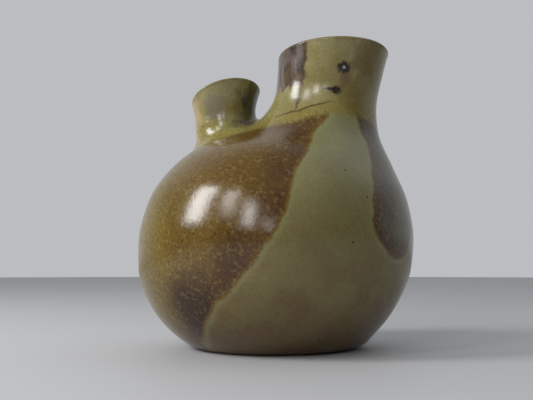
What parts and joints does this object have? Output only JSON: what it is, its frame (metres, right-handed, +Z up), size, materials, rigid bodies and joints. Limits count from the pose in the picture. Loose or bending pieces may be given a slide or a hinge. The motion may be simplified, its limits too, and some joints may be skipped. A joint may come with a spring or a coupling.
{
  "type": "double-necked vase",
  "caption": "Globular glazed stoneware vase with a wide and a narrow flared neck, both cut at a slant, standing on a turned foot ring.",
  "frame": {"origin": "on the table, under the middle of the globe", "axes": "+Z up, +X from the small neck towards the large neck"},
  "size_m": [0.2111, 0.2114, 0.23],
  "materials": {
    "body_glaze": "glossy ash glaze on stoneware: ochre-brown pours over pale green-grey",
    "large_neck_glaze": "satin olive glaze on stoneware with dark iron marks",
    "small_neck_glaze": "satin mottled olive and brown glaze on stoneware"
  },
  "bodies": {
    "root": {"body_lower": "body_glaze", "body_upper": "body_glaze", "large_neck": "large_neck_glaze", "large_neck_coil": "large_neck_glaze", "small_neck": "small_neck_glaze", "small_neck_coil": "small_neck_glaze"}
  },
  "joints": []
}
